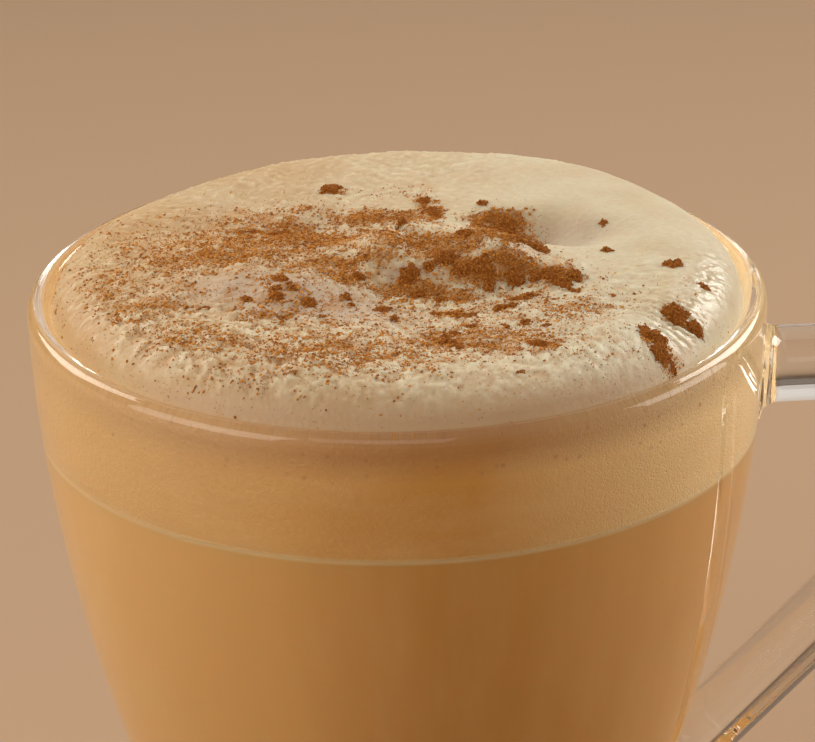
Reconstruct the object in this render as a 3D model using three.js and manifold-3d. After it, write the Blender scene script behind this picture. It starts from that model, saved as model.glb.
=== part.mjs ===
// A latte in a clear glass mug: one glass body with its handle, the coffee,
// and a domed milk foam with cinnamon clumps on it.
// Millimetres, +Z up. The origin is the centre of the flat base and +X points to the handle.
import * as THREE from "three";
import { mergeVertices } from "three/addons/utils/BufferGeometryUtils.js";
import Module from "manifold-3d";

// The glass body
const RIM_RADIUS = 43;
const HEIGHT = 82;
const TAPER = 0.143; // share of the rim radius lost at a depth of one rim radius
const TAPER_POWER = 1.8;
const RIM_WALL = 2.7;
const HEEL_WALL = 4.2;
const FLOOR_THICKNESS = 7.5;
const HEEL_ROUND = 5;
const INNER_ROUND = 9;
const AROUND = 64;

// The handle
const ARM_HEIGHT = 8;
const ARM_WIDTH = 10.5;
const TOP_ARM_DEPTH = 11.5; // below the rim, at the middle of the arm
const LOWER_ARM_X = 49.5; // a point on the middle of the lower arm
const LOWER_ARM_DEPTH = 45.3;
const LOWER_ARM_THINNING = 0.87;
const BEND_RADIUS = 9;
const LOWER_ROOT_X = 30.8; // where the middle of the lower arm meets the body
const ROOT_INSIDE = 9; // of the lower arm's end, in the body
const ROOT_SPREAD = 0.35;
const ROOT_LENGTH = 6;
const ARM_SIDES = 20;
const ARM_SQUARENESS = 2.6;

// The drink
const GAP = 0.3;
const COFFEE_DEPTH = 16.2; // of the coffee's top below the rim
const COFFEE_AROUND = 48;
const FOAM_AROUND = 64;
const FOAM_RINGS = 23;
const FOAM_RING_CROWDING = 1.35; // above 1, the rings lie closer towards the wall

// The foam's top, above the rim. It is turned against the handle by FOAM_TURN.
const FOAM_TURN = THREE.MathUtils.degToRad(4);
const FOAM_CROWN = 4.25;
const FOAM_FOOT = -0.6;
const FOAM_SHOULDER = 8;
const MOUNDS = [
  { name: "left mound", at: [-13, -4.5], half: [15, 12.5], steep: 2.2, rise: 2.1, turn: 0.1 },
  { name: "middle mound", at: [5, -3.5], half: [9.5, 8], steep: 2.4, rise: 2.9, turn: 0 },
  { name: "right ridge", at: [15.5, -4.5], half: [8, 4.5], steep: 1.5, rise: 1.5, turn: -0.35 },
  { name: "hollow", at: [16.5, 8], half: [8.5, 4.3], steep: 1.3, rise: -3, turn: -0.15 },
  { name: "back valley", at: [-15, 9.5], half: [13, 4.5], steep: 1.3, rise: -1.1, turn: 0 },
  { name: "wet patch", at: [33, -22], half: [6, 4], steep: 1.2, rise: -0.8, turn: -0.8 },
];
const SWELLS = [
  { angle: 0.95, width: 0.35, rise: 0.75 },
  { angle: 2.35, width: 0.35, rise: -0.65 },
];

// Cinnamon clumps lie in drifts: a middle, a spread, how many, and the width of a clump
const DRIFTS = [
  { at: [10, -9.5], spread: [10, 2.4], count: 20, size: [1.7, 2.8] },
  { at: [13, -2], spread: [6, 3.5], count: 12, size: [1.6, 2.8] },
  { at: [13.5, 9], spread: [4, 2.4], count: 8, size: [1.6, 2.4] },
  { at: [-13, -14], spread: [9, 3.6], count: 11, size: [1.2, 2] },
  { at: [-7, 6], spread: [13, 5], count: 9, size: [1.3, 2.2] },
  { at: [9, -22], spread: [11, 4], count: 8, size: [1.3, 2.2] },
  { at: [32.1, -18.2], spread: [1.5, 0.7], count: 4, size: [2.4, 3.2] },
  { at: [29, -23], spread: [0.8, 1.3], count: 3, size: [2.4, 3] },
];
const CLUMP_CLEARANCE = 2.2;
const CLUMP_REACH = 37.5;
const CLUMP_LIFT = 0.04; // of a clump's middle above the foam, as a share of its width
const CLUMP_SEED = 11;

const wasm = await Module();
wasm.setup();

function toSolid(geometry) {
  const bare = new THREE.BufferGeometry();
  bare.setAttribute("position", geometry.getAttribute("position").clone());
  if (geometry.index) {
    bare.setIndex(geometry.index.clone());
  }
  const merged = mergeVertices(bare, 1e-4);
  const mesh = new wasm.Mesh({
    numProp: 3,
    vertProperties: merged.attributes.position.array,
    triVerts: new Uint32Array(merged.index.array),
  });
  return new wasm.Manifold(mesh);
}

function toGeometry(solid) {
  const mesh = solid.getMesh();
  const geometry = new THREE.BufferGeometry();
  geometry.setAttribute("position", new THREE.BufferAttribute(mesh.vertProperties, 3));
  geometry.setIndex(new THREE.BufferAttribute(mesh.triVerts, 1));
  geometry.computeVertexNormals();
  return geometry;
}

// The outer radius of the glass at a depth below the rim
function outerRadius(depth) {
  return RIM_RADIUS * (1 - TAPER * (Math.max(depth, 0) / RIM_RADIUS) ** TAPER_POWER);
}

// The inner radius of the glass, above the round of its floor
function innerRadius(depth) {
  const wall = RIM_WALL + (HEEL_WALL - RIM_WALL) * (Math.max(depth, 0) / HEIGHT);
  return outerRadius(depth) - wall;
}

// A quarter ellipse from one point to another, leaving the start along +X or +Z
function quarter(from, to, steps, startsAlongX) {
  const points = [];
  for (let i = 1; i <= steps; i += 1) {
    const turn = (i / steps) * (Math.PI / 2);
    const fast = Math.sin(turn);
    const slow = 1 - Math.cos(turn);
    const [shareX, shareZ] = startsAlongX ? [fast, slow] : [slow, fast];
    points.push(
      new THREE.Vector2(from[0] + (to[0] - from[0]) * shareX, from[1] + (to[1] - from[1]) * shareZ),
    );
  }
  return points;
}

// The outer side of the glass in half section, from the axis under the base to the top of the lip.
// The heel is an arc that meets the base and the slanted wall smoothly.
function outerOutline() {
  const lean = Math.atan(TAPER * TAPER_POWER * (HEIGHT / RIM_RADIUS) ** (TAPER_POWER - 1));
  const heelTop = HEEL_ROUND * (1 - Math.sin(lean));
  const arcX = outerRadius(HEIGHT - heelTop) - HEEL_ROUND * Math.cos(lean);
  const points = [new THREE.Vector2(0, 0)];
  const arcSteps = 5;
  for (let i = 0; i <= arcSteps; i += 1) {
    const angle = -Math.PI / 2 + ((Math.PI / 2 - lean) * i) / arcSteps;
    points.push(
      new THREE.Vector2(arcX + HEEL_ROUND * Math.cos(angle), HEEL_ROUND * (1 + Math.sin(angle))),
    );
  }
  const lip = RIM_WALL / 2;
  const steps = 15;
  for (let i = 1; i <= steps; i += 1) {
    const z = heelTop + ((HEIGHT - lip - heelTop) * i) / steps;
    points.push(new THREE.Vector2(outerRadius(HEIGHT - z), z));
  }
  const shoulder = points[points.length - 1].x;
  points.push(...quarter([shoulder, HEIGHT - lip], [RIM_RADIUS - lip, HEIGHT], 3, false));
  return points;
}

// The outline of the space inside the glass, from the axis up to a height, shrunk by a gap
function innerOutline(gap, top, steps) {
  const low = FLOOR_THICKNESS + gap;
  const start = low + INNER_ROUND;
  const wallRadius = innerRadius(HEIGHT - start) - gap;
  const points = [
    new THREE.Vector2(0, low),
    new THREE.Vector2(wallRadius - INNER_ROUND, low),
    ...quarter([wallRadius - INNER_ROUND, low], [wallRadius, start], 5, true),
  ];
  for (let i = 1; i <= steps; i += 1) {
    const z = start + ((top - start) * i) / steps;
    points.push(new THREE.Vector2(innerRadius(HEIGHT - z) - gap, z));
  }
  return points;
}

// The whole wall in half section: up outside, over the rounded lip and down inside
function wallOutline() {
  const lip = RIM_WALL / 2;
  const outside = outerOutline();
  const inside = innerOutline(0, HEIGHT - lip, 12);
  const edge = inside[inside.length - 1].x;
  const lipInside = quarter([edge, HEIGHT - lip], [RIM_RADIUS - lip, HEIGHT], 3, false);
  lipInside.pop();
  return [...outside, ...lipInside.reverse(), ...inside.reverse()];
}

function lathe(outline, around) {
  const geometry = new THREE.LatheGeometry(outline, around);
  geometry.rotateX(Math.PI / 2);
  return geometry;
}

// The middle line of the handle in the XZ plane: out, round the bend, and back down at 45 degrees
function handleLine() {
  const slope = Math.PI / 4;
  const topZ = HEIGHT - TOP_ARM_DEPTH;
  const cornerX = LOWER_ARM_X + (LOWER_ARM_DEPTH - TOP_ARM_DEPTH) / Math.tan(slope);
  const turned = Math.PI - slope;
  const bendX = cornerX - BEND_RADIUS * Math.tan(turned / 2);
  const startX = outerRadius(TOP_ARM_DEPTH) - RIM_WALL * 0.6;
  const points = [];
  const straightSteps = 9;
  for (let i = 0; i < straightSteps; i += 1) {
    points.push(new THREE.Vector3(startX + ((bendX - startX) * i) / straightSteps, 0, topZ));
  }
  const bendSteps = 12;
  for (let i = 0; i <= bendSteps; i += 1) {
    const angle = Math.PI / 2 - (turned * i) / bendSteps;
    points.push(
      new THREE.Vector3(
        bendX + BEND_RADIUS * Math.cos(angle),
        0,
        topZ - BEND_RADIUS + BEND_RADIUS * Math.sin(angle),
      ),
    );
  }
  const last = points[points.length - 1];
  const length = (last.x - LOWER_ROOT_X) / Math.cos(slope) + ROOT_INSIDE;
  const lowerSteps = 15;
  for (let i = 1; i <= lowerSteps; i += 1) {
    const run = (length * i) / lowerSteps;
    points.push(
      new THREE.Vector3(last.x - run * Math.cos(slope), 0, last.z - run * Math.sin(slope)),
    );
  }
  return points;
}

// The handle is a rounded bar swept along its line, wider where it melts into the body
function handleSolid() {
  const line = handleLine();
  const along = [0];
  for (let i = 1; i < line.length; i += 1) {
    along.push(along[i - 1] + line[i].distanceTo(line[i - 1]));
  }
  const total = along[along.length - 1];
  const positions = [];
  line.forEach((point, i) => {
    const before = line[Math.max(i - 1, 0)];
    const after = line[Math.min(i + 1, line.length - 1)];
    const heading = after.clone().sub(before).normalize();
    const up = new THREE.Vector3(-heading.z, 0, heading.x);
    const fromRoot = Math.min(along[i], Math.max(total - ROOT_INSIDE - along[i], 0));
    const flare = 1 + ROOT_SPREAD * Math.exp(-((fromRoot / ROOT_LENGTH) ** 2));
    const turned = THREE.MathUtils.smoothstep(along[i] / total, 0.3, 0.7);
    const thinning = 1 + (LOWER_ARM_THINNING - 1) * turned;
    for (let side = 0; side < ARM_SIDES; side += 1) {
      const angle = (side / ARM_SIDES) * Math.PI * 2;
      const power = 2 / ARM_SQUARENESS;
      const across = Math.sign(Math.cos(angle)) * Math.abs(Math.cos(angle)) ** power;
      const rise = Math.sign(Math.sin(angle)) * Math.abs(Math.sin(angle)) ** power;
      const height = (ARM_HEIGHT / 2) * flare * thinning * rise;
      positions.push(
        point.x + up.x * height,
        (ARM_WIDTH / 2) * flare * across,
        point.z + up.z * height,
      );
    }
  });
  const rings = line.length;
  const firstCentre = positions.length / 3;
  positions.push(line[0].x, 0, line[0].z);
  positions.push(line[rings - 1].x, 0, line[rings - 1].z);
  const triangles = [];
  for (let side = 0; side < ARM_SIDES; side += 1) {
    const next = (side + 1) % ARM_SIDES;
    for (let ring = 0; ring < rings - 1; ring += 1) {
      const low = ring * ARM_SIDES;
      const high = low + ARM_SIDES;
      triangles.push(low + side, high + next, high + side, low + side, low + next, high + next);
    }
    const end = (rings - 1) * ARM_SIDES;
    triangles.push(firstCentre, next, side, firstCentre + 1, end + side, end + next);
  }
  const geometry = new THREE.BufferGeometry();
  geometry.setAttribute("position", new THREE.BufferAttribute(new Float32Array(positions), 3));
  geometry.setIndex(triangles);
  return toSolid(geometry);
}

function bump(mound, u, v) {
  const [du, dv] = [u - mound.at[0], v - mound.at[1]];
  const [cos, sin] = [Math.cos(mound.turn), Math.sin(mound.turn)];
  const a = (du * cos + dv * sin) / mound.half[0];
  const b = (-du * sin + dv * cos) / mound.half[1];
  return Math.exp(-((a * a + b * b) ** mound.steep));
}

// Height of the foam's top above the rim, which falls in a round shoulder to the wall
function foamRise(x, y, wallRadius) {
  const u = x * Math.cos(FOAM_TURN) - y * Math.sin(FOAM_TURN);
  const v = x * Math.sin(FOAM_TURN) + y * Math.cos(FOAM_TURN);
  const radius = Math.hypot(u, v);
  const angle = Math.atan2(v, u);
  let crown = FOAM_CROWN + 0.25 * Math.sin(2 * angle + 0.6) + 0.15 * Math.sin(3 * angle + 2);
  for (const swell of SWELLS) {
    crown += swell.rise * Math.exp(-(((angle - swell.angle) / swell.width) ** 2));
  }
  const out = (radius - (wallRadius - FOAM_SHOULDER)) / FOAM_SHOULDER;
  const share = THREE.MathUtils.clamp(out, 0, 1);
  let relief = 0;
  for (const mound of MOUNDS) {
    relief += mound.rise * bump(mound, u, v);
  }
  const ripple = 0.18 * Math.sin(0.42 * u + 1.3 * Math.sin(0.23 * v)) * Math.sin(0.37 * v + 0.8);
  relief += (ripple + 0.1 * Math.sin(0.9 * u - 0.5 * v)) * (1 - share);
  return FOAM_FOOT + (crown - FOAM_FOOT + relief) * Math.sqrt(1 - share * share);
}

// The foam is a cake of rings: its top follows foamRise, its side the glass, its base the coffee
function foamCore() {
  const low = HEIGHT - COFFEE_DEPTH + GAP;
  const wallRadius = innerRadius(0) - GAP;
  const positions = [];
  const ring = (radius, rise) => {
    for (let i = 0; i < FOAM_AROUND; i += 1) {
      const angle = (i / FOAM_AROUND) * Math.PI * 2;
      const [x, y] = [radius * Math.cos(angle), radius * Math.sin(angle)];
      positions.push(x, y, rise(x, y));
    }
  };
  positions.push(0, 0, HEIGHT + foamRise(0, 0, wallRadius));
  for (let i = 1; i <= FOAM_RINGS; i += 1) {
    const share = i / FOAM_RINGS;
    const radius = wallRadius * (1 - (1 - share) ** FOAM_RING_CROWDING);
    ring(radius, (x, y) => HEIGHT + foamRise(x, y, wallRadius));
  }
  const sideSteps = 3;
  for (let i = 1; i <= sideSteps; i += 1) {
    const z = HEIGHT + FOAM_FOOT + ((low - HEIGHT - FOAM_FOOT) * i) / sideSteps;
    ring(innerRadius(HEIGHT - z) - GAP, () => z);
  }
  const rings = FOAM_RINGS + sideSteps;
  const baseCentre = positions.length / 3;
  positions.push(0, 0, low);
  const triangles = [];
  for (let i = 0; i < FOAM_AROUND; i += 1) {
    const next = (i + 1) % FOAM_AROUND;
    triangles.push(0, 1 + i, 1 + next);
    for (let k = 0; k < rings - 1; k += 1) {
      const inner = 1 + k * FOAM_AROUND;
      const outer = inner + FOAM_AROUND;
      triangles.push(inner + i, outer + i, outer + next, inner + i, outer + next, inner + next);
    }
    const last = 1 + (rings - 1) * FOAM_AROUND;
    triangles.push(baseCentre, last + next, last + i);
  }
  const geometry = new THREE.BufferGeometry();
  geometry.setAttribute("position", new THREE.BufferAttribute(new Float32Array(positions), 3));
  geometry.setIndex(triangles);
  return toSolid(geometry);
}

function seededRandom(seed) {
  let state = seed;
  return () => {
    state = (state * 1664525 + 1013904223) % 4294967296;
    return state / 4294967296;
  };
}

// A clump of cinnamon: a flattened, uneven lump half sunk in the foam
function clumpSolid(x, y, width, random) {
  const geometry = new THREE.IcosahedronGeometry(width / 2, 0);
  geometry.deleteAttribute("normal");
  geometry.deleteAttribute("uv");
  const lump = mergeVertices(geometry, 1e-4);
  const place = lump.attributes.position;
  for (let i = 0; i < place.count; i += 1) {
    const uneven = 0.8 + 0.35 * random();
    place.setXYZ(i, place.getX(i) * uneven, place.getY(i) * uneven, place.getZ(i) * uneven * 0.7);
  }
  lump.rotateZ(random() * Math.PI * 2);
  lump.scale(1 + 0.4 * random(), 1, 1);
  lump.translate(x, y, HEIGHT + foamRise(x, y, innerRadius(0) - GAP) + CLUMP_LIFT * width);
  return toSolid(lump);
}

function foamSolid() {
  const random = seededRandom(CLUMP_SEED);
  const spread = () => random() + random() + random() - 1.5;
  let solid = foamCore();
  const taken = [];
  for (const drift of DRIFTS) {
    for (let i = 0; i < drift.count; i += 1) {
      const u = drift.at[0] + drift.spread[0] * spread();
      const v = drift.at[1] + drift.spread[1] * spread();
      const width = drift.size[0] + (drift.size[1] - drift.size[0]) * random();
      const x = u * Math.cos(FOAM_TURN) + v * Math.sin(FOAM_TURN);
      const y = -u * Math.sin(FOAM_TURN) + v * Math.cos(FOAM_TURN);
      const lump = clumpSolid(x, y, width, random);
      const free = taken.every((place) => Math.hypot(place[0] - x, place[1] - y) > CLUMP_CLEARANCE);
      if (free && Math.hypot(x, y) < CLUMP_REACH) {
        solid = solid.add(lump);
        taken.push([x, y]);
      }
    }
  }
  return solid;
}

const glass = new THREE.MeshStandardMaterial({ color: 0xdfe5e2, roughness: 0.03, metalness: 0 });
glass.transparent = true;
glass.opacity = 0.35;
const coffee = new THREE.MeshStandardMaterial({ color: 0xb27f4e, roughness: 0.35, metalness: 0 });
const foam = new THREE.MeshStandardMaterial({ color: 0xd9c2a0, roughness: 0.6, metalness: 0 });

// The handle's ends stop in the middle of the wall
const bore = innerOutline(-RIM_WALL / 2, HEIGHT - RIM_WALL, 12);
bore.push(new THREE.Vector2(0, HEIGHT - RIM_WALL));
const handle = handleSolid().subtract(toSolid(lathe(bore, AROUND)));
const body = toSolid(lathe(wallOutline(), AROUND));
const mug = new THREE.Mesh(toGeometry(body.add(handle)), glass);
mug.name = "glass_mug";

const coffeeOutline = innerOutline(GAP, HEIGHT - COFFEE_DEPTH, 7);
coffeeOutline.push(new THREE.Vector2(0, HEIGHT - COFFEE_DEPTH));
const drink = new THREE.Mesh(lathe(coffeeOutline, COFFEE_AROUND), coffee);
drink.name = "coffee";

const froth = new THREE.Mesh(toGeometry(foamSolid()), foam);
froth.name = "milk_foam";

const group = new THREE.Group();
group.add(mug, drink, froth);

export default group;
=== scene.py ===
import math

import bpy
import numpy as np
from mathutils import Matrix, Vector, noise


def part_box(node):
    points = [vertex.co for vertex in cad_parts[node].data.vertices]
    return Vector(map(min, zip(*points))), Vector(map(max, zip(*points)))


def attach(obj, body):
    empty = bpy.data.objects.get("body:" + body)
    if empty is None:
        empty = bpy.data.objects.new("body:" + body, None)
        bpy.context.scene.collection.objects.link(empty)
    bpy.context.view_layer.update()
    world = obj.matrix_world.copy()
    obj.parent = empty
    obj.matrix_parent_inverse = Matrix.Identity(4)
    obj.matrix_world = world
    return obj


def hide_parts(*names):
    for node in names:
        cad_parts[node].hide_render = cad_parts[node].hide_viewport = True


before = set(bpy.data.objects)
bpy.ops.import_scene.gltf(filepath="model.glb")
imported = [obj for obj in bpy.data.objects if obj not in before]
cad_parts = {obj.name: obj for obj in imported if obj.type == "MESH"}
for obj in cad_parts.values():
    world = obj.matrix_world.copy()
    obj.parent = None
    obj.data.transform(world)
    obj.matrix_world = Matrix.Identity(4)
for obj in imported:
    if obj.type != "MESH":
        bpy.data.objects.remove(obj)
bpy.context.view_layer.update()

# The mug is one piece of clear pressed glass: a tapering body with a thick floor, and a bar
# handle that melts into it at both ends. The body is turned, the handle is swept along its
# bent middle line, and the two are joined into one skin.
MM = 0.001
rim_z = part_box("glass_mug")[1].z
rim_radius = 43 * MM
taper = 0.143
taper_power = 1.8
rim_wall = 2.7 * MM
heel_wall = 4.2 * MM
floor_thickness = 7.5 * MM
heel_round = 5 * MM
floor_round = 9 * MM
body_sides = 400
wall_steps = 40
heel_steps = 10
lip_steps = 18
floor_round_steps = 14
arm_height = 8 * MM
arm_width = 10.5 * MM
arm_squareness = 2.6
top_arm_z = rim_z - 11.5 * MM
top_arm_start = rim_radius - 4 * MM
lower_arm_point = Vector((49.5 * MM, 0, rim_z - 45.3 * MM))
lower_arm_slope = math.radians(45)
lower_arm_end = 25 * MM
lower_arm_thinning = 0.87
thinning_starts = 0.3
thinning_run = 0.4
bend_radius = 9 * MM
root_fillet = 2.6 * MM
fillet_facing = 0.6
handle_sides = 56
top_arm_steps = 70
bend_steps = 40
lower_arm_steps = 150
bore_sides = 144


def outer_radius(depth):
    """The body's radius outside, that far below the rim."""
    return rim_radius * (1 - taper * (max(depth, 0) / rim_radius) ** taper_power)


def wall_lean(depth):
    """How much the body narrows for each step down, that far below the rim."""
    return taper * taper_power * (max(depth, 0) / rim_radius) ** (taper_power - 1)


def inner_radius(depth):
    """The body's radius inside, that far below the rim."""
    wall = rim_wall + (heel_wall - rim_wall) * max(depth, 0) / rim_z
    return outer_radius(depth) - wall


def arc(centre, radii, start, end, steps):
    """Points on an ellipse between two angles in degrees, both ends included."""
    angles = np.radians(np.linspace(start, end, steps + 1))
    return [(centre[0] + radii[0] * math.cos(a), centre[1] + radii[1] * math.sin(a)) for a in angles]


def mesh_object(name, points, faces):
    """A smooth-shaded object in the scene, made from points and faces."""
    mesh = bpy.data.meshes.new(name)
    mesh.from_pydata(points, [], faces)
    mesh.shade_smooth()
    made = bpy.data.objects.new(name, mesh)
    bpy.context.scene.collection.objects.link(made)
    return made


def turned(name, outline, sides):
    """A closed turned solid. The outline goes from the axis at the bottom, up outside, to the axis."""
    angles = [2 * math.pi * i / sides for i in range(sides)]
    rings = outline[1:-1]
    points = [(0, 0, outline[0][1])]
    points += [(r * math.cos(a), r * math.sin(a), z) for r, z in rings for a in angles]
    points.append((0, 0, outline[-1][1]))
    faces = []
    top = len(points) - 1
    top_ring = 1 + (len(rings) - 1) * sides
    for i in range(sides):
        j = (i + 1) % sides
        faces.append((0, 1 + j, 1 + i))
        faces.append((top, top_ring + i, top_ring + j))
        for k in range(len(rings) - 1):
            low = 1 + k * sides
            high = low + sides
            faces.append((low + i, low + j, high + j, high + i))
    return mesh_object(name, points, faces)


def inside_outline(grow, top):
    """From the axis over the glass's floor and up its inner wall, moved into the glass by grow."""
    low = floor_thickness - grow
    start = low + floor_round
    wall = inner_radius(rim_z - start) + grow
    outline = [(0, low)]
    outline += arc((wall - floor_round, start), (floor_round, floor_round), -90, 0, floor_round_steps)
    outline += [(inner_radius(rim_z - z) + grow, z) for z in np.linspace(start, top, wall_steps)[1:]]
    return outline


def body_outline():
    """From the axis under the base, up outside, over the lip and down inside to the axis."""
    lean = math.atan(wall_lean(rim_z))
    heel_top = heel_round * (1 - math.sin(lean))
    heel_x = outer_radius(rim_z - heel_top) - heel_round * math.cos(lean)
    lip = rim_wall / 2
    outline = [(0, 0)]
    outline += arc((heel_x, heel_round), (heel_round, heel_round), -90, -math.degrees(lean), heel_steps)
    heights = np.linspace(heel_top, rim_z - lip, wall_steps)[1:-1]
    outline += [(outer_radius(rim_z - z), z) for z in heights]
    outline += arc((rim_radius - lip, rim_z - lip), (lip, lip), 0, 180, lip_steps)
    return outline + inside_outline(0, rim_z - lip)[::-1][1:]


def joined(base, other, operation):
    """Base with the other solid added or cut away. The other is removed."""
    cut = base.modifiers.new("join", "BOOLEAN")
    cut.operation = operation
    cut.solver = "EXACT"
    cut.object = other
    graph = bpy.context.evaluated_depsgraph_get()
    mesh = bpy.data.meshes.new_from_object(base.evaluated_get(graph))
    base.modifiers.clear()
    base.data = mesh
    bpy.data.objects.remove(other)
    return base


def handle_line():
    """Points on the handle's middle line, from inside the top root round to inside the lower root."""
    corner_x = lower_arm_point.x + (top_arm_z - lower_arm_point.z) / math.tan(lower_arm_slope)
    bend_x = corner_x - bend_radius * math.tan((math.pi - lower_arm_slope) / 2)
    line = [Vector((x, 0, top_arm_z)) for x in np.linspace(top_arm_start, bend_x, top_arm_steps)]
    bend = arc((bend_x, top_arm_z - bend_radius), (bend_radius, bend_radius), 90, -45, bend_steps)
    line += [Vector((x, 0, z)) for x, z in bend[1:]]
    run = line[-1].x - lower_arm_end
    line += [line[-1] - Vector((s, 0, s)) for s in np.linspace(0, run, lower_arm_steps)[1:]]
    return line


def rounded_square(turn):
    """A point on the bar's outline, from -1 to 1 across it and up it."""
    power = 2 / arm_squareness
    across = math.copysign(abs(math.cos(turn)) ** power, math.cos(turn))
    rise = math.copysign(abs(math.sin(turn)) ** power, math.sin(turn))
    return across, rise


def filleted(middle, out):
    """A point on the bar's skin, moved further out where the bar runs into the body."""
    place = middle + out
    radius = math.hypot(place.x, place.y)
    depth = rim_z - place.z
    lean = wall_lean(depth)
    clear = (radius - outer_radius(depth)) / math.hypot(1, lean)
    normal = Vector((place.x / radius, place.y / radius, -lean)).normalized()
    facing = max(out.normalized().dot(normal), 0)
    fillet = root_fillet * max(1 - facing / fillet_facing, 0)
    near = min(max(1 - clear / root_fillet, 0), 1)
    return place + out.normalized() * fillet * (1 - math.sqrt(1 - near * near))


def handle():
    """The bar, swept along its middle line and cut off inside the body's wall."""
    line = handle_line()
    lengths = [(line[i + 1] - line[i]).length for i in range(len(line) - 1)]
    along = np.concatenate([[0], np.cumsum(lengths)]) / sum(lengths)
    points = []
    for i, middle in enumerate(line):
        heading = (line[min(i + 1, len(line) - 1)] - line[max(i - 1, 0)]).normalized()
        up = Vector((-heading.z, 0, heading.x))
        t = min(max((along[i] - thinning_starts) / thinning_run, 0), 1)
        thin = 1 + (lower_arm_thinning - 1) * t * t * (3 - 2 * t)
        for k in range(handle_sides):
            across, rise = rounded_square(2 * math.pi * k / handle_sides)
            out = Vector((0, across * arm_width / 2, 0)) + up * (rise * thin * arm_height / 2)
            points.append(filleted(middle, out))
    faces = [tuple(range(handle_sides))]
    for i in range(len(line) - 1):
        for k in range(handle_sides):
            low, n = i * handle_sides, (k + 1) % handle_sides
            high = low + handle_sides
            faces.append((low + k, high + k, high + n, low + n))
    faces.append(tuple(range(len(points) - 1, len(points) - 1 - handle_sides, -1)))
    made = mesh_object("handle", points, faces)
    bore_outline = inside_outline(rim_wall / 2, rim_z - rim_wall) + [(0, rim_z - rim_wall)]
    return joined(made, turned("bore", bore_outline, bore_sides), "DIFFERENCE")


mug = joined(turned("glass_mug_clear", body_outline(), body_sides), handle(), "UNION")
mug.data.shade_smooth()


def node(tree, kind, inputs=None, **settings):
    """Adds a node, sets its properties, and gives its inputs values or links."""
    made = tree.nodes.new(kind)
    for name, value in settings.items():
        setattr(made, name, value)
    for socket, value in (inputs or {}).items():
        if isinstance(value, bpy.types.NodeSocket):
            tree.links.new(value, made.inputs[socket])
        else:
            made.inputs[socket].default_value = value
    return made


def material(name):
    """A new material with an empty tree, its output node and its Object coordinates."""
    made = bpy.data.materials.new(name)
    made.use_nodes = True
    made.node_tree.nodes.clear()
    output = node(made.node_tree, "ShaderNodeOutputMaterial")
    place = node(made.node_tree, "ShaderNodeTexCoord").outputs["Object"]
    return made, made.node_tree, output, place


# Pressed glass has slow waves in its skin and fine finger marks
glass, tree, output, place = material("clear_glass")
waves = node(tree, "ShaderNodeTexNoise", {"Vector": place, "Scale": 55, "Detail": 1})
skin = node(tree, "ShaderNodeBump", {"Height": waves.outputs["Fac"], "Strength": 0.05, "Distance": 0.001})
marks = node(tree, "ShaderNodeTexNoise", {"Vector": place, "Scale": 140, "Detail": 4})
haze = node(tree, "ShaderNodeMapRange", {
    "Value": marks.outputs["Fac"], "From Min": 0.5, "From Max": 0.8, "To Min": 0.0, "To Max": 0.05,
})
clear = node(tree, "ShaderNodeBsdfPrincipled", {
    "Base Color": (0.985, 0.99, 0.985, 1), "Roughness": haze.outputs["Result"], "IOR": 1.52,
    "Transmission Weight": 1.0, "Normal": skin.outputs["Normal"],
})
light_path = node(tree, "ShaderNodeLightPath")
through = node(tree, "ShaderNodeBsdfTransparent", {"Color": (0.97, 0.98, 0.97, 1)})
mixed = node(tree, "ShaderNodeMixShader", {
    0: light_path.outputs["Is Shadow Ray"], 1: clear.outputs["BSDF"], 2: through.outputs["BSDF"],
})
tree.links.new(mixed.outputs["Shader"], output.inputs["Surface"])
mug.data.materials.clear()
mug.data.materials.append(glass)
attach(mug, "root")
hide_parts("glass_mug")

# The coffee is opaque with milk. It fills the glass up to the foam, and reaches a little into
# the wall so that no air shows between them.
reach = 0.15 * MM
coffee_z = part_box("coffee")[1].z
coffee_sides = 192
sharpest = math.radians(60)
coffee_painted_light_left = (0.62, 0.385, 0.16, 1)
coffee_painted_shade_middle = (0.48, 0.225, 0.038, 1)
coffee_painted_light_right = (0.56, 0.31, 0.11, 1)
coffee_streaks = (0.60, 0.34, 0.12, 1)
coffee_clouds = (0.6, 0.31, 0.1, 1)
coffee_line = (0.78, 0.52, 0.27, 1)
coffee = turned("coffee_drink", inside_outline(reach, coffee_z) + [(0, coffee_z)], coffee_sides)
coffee.data.set_sharp_from_angle(angle=sharpest)

coffee_look, tree, output, place = material("milky_coffee")


def mix(factor, a, b):
    """A node that mixes two colours, in the tree that is being built."""
    return node(tree, "ShaderNodeMix", {"Factor": factor, "A": a, "B": b}, data_type="RGBA").outputs["Result"]


def remap(value, low, high, to_low, to_high):
    """A node that takes one range of numbers to another and holds the ends."""
    return node(tree, "ShaderNodeMapRange", {
        "Value": value, "From Min": low, "From Max": high, "To Min": to_low, "To Max": to_high,
    }).outputs["Result"]


def noise_value(scale, detail, stretch=(1, 1, 1)):
    """A node for smooth noise over the piece, drawn out along an axis by a smaller stretch."""
    where = node(tree, "ShaderNodeMapping", {"Vector": place, "Scale": stretch}).outputs["Vector"]
    texture = node(tree, "ShaderNodeTexNoise", {"Vector": where, "Scale": scale, "Detail": detail})
    return texture.outputs["Fac"]


def axis_value(axis):
    """The piece's own X, Y or Z at each point, in metres."""
    return node(tree, "ShaderNodeSeparateXYZ", {"Vector": place}).outputs[axis]


# Painted shade and light: the coffee is painted darkest in the middle of the front and lighter to the left
# and right, where the side lamps fall
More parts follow.
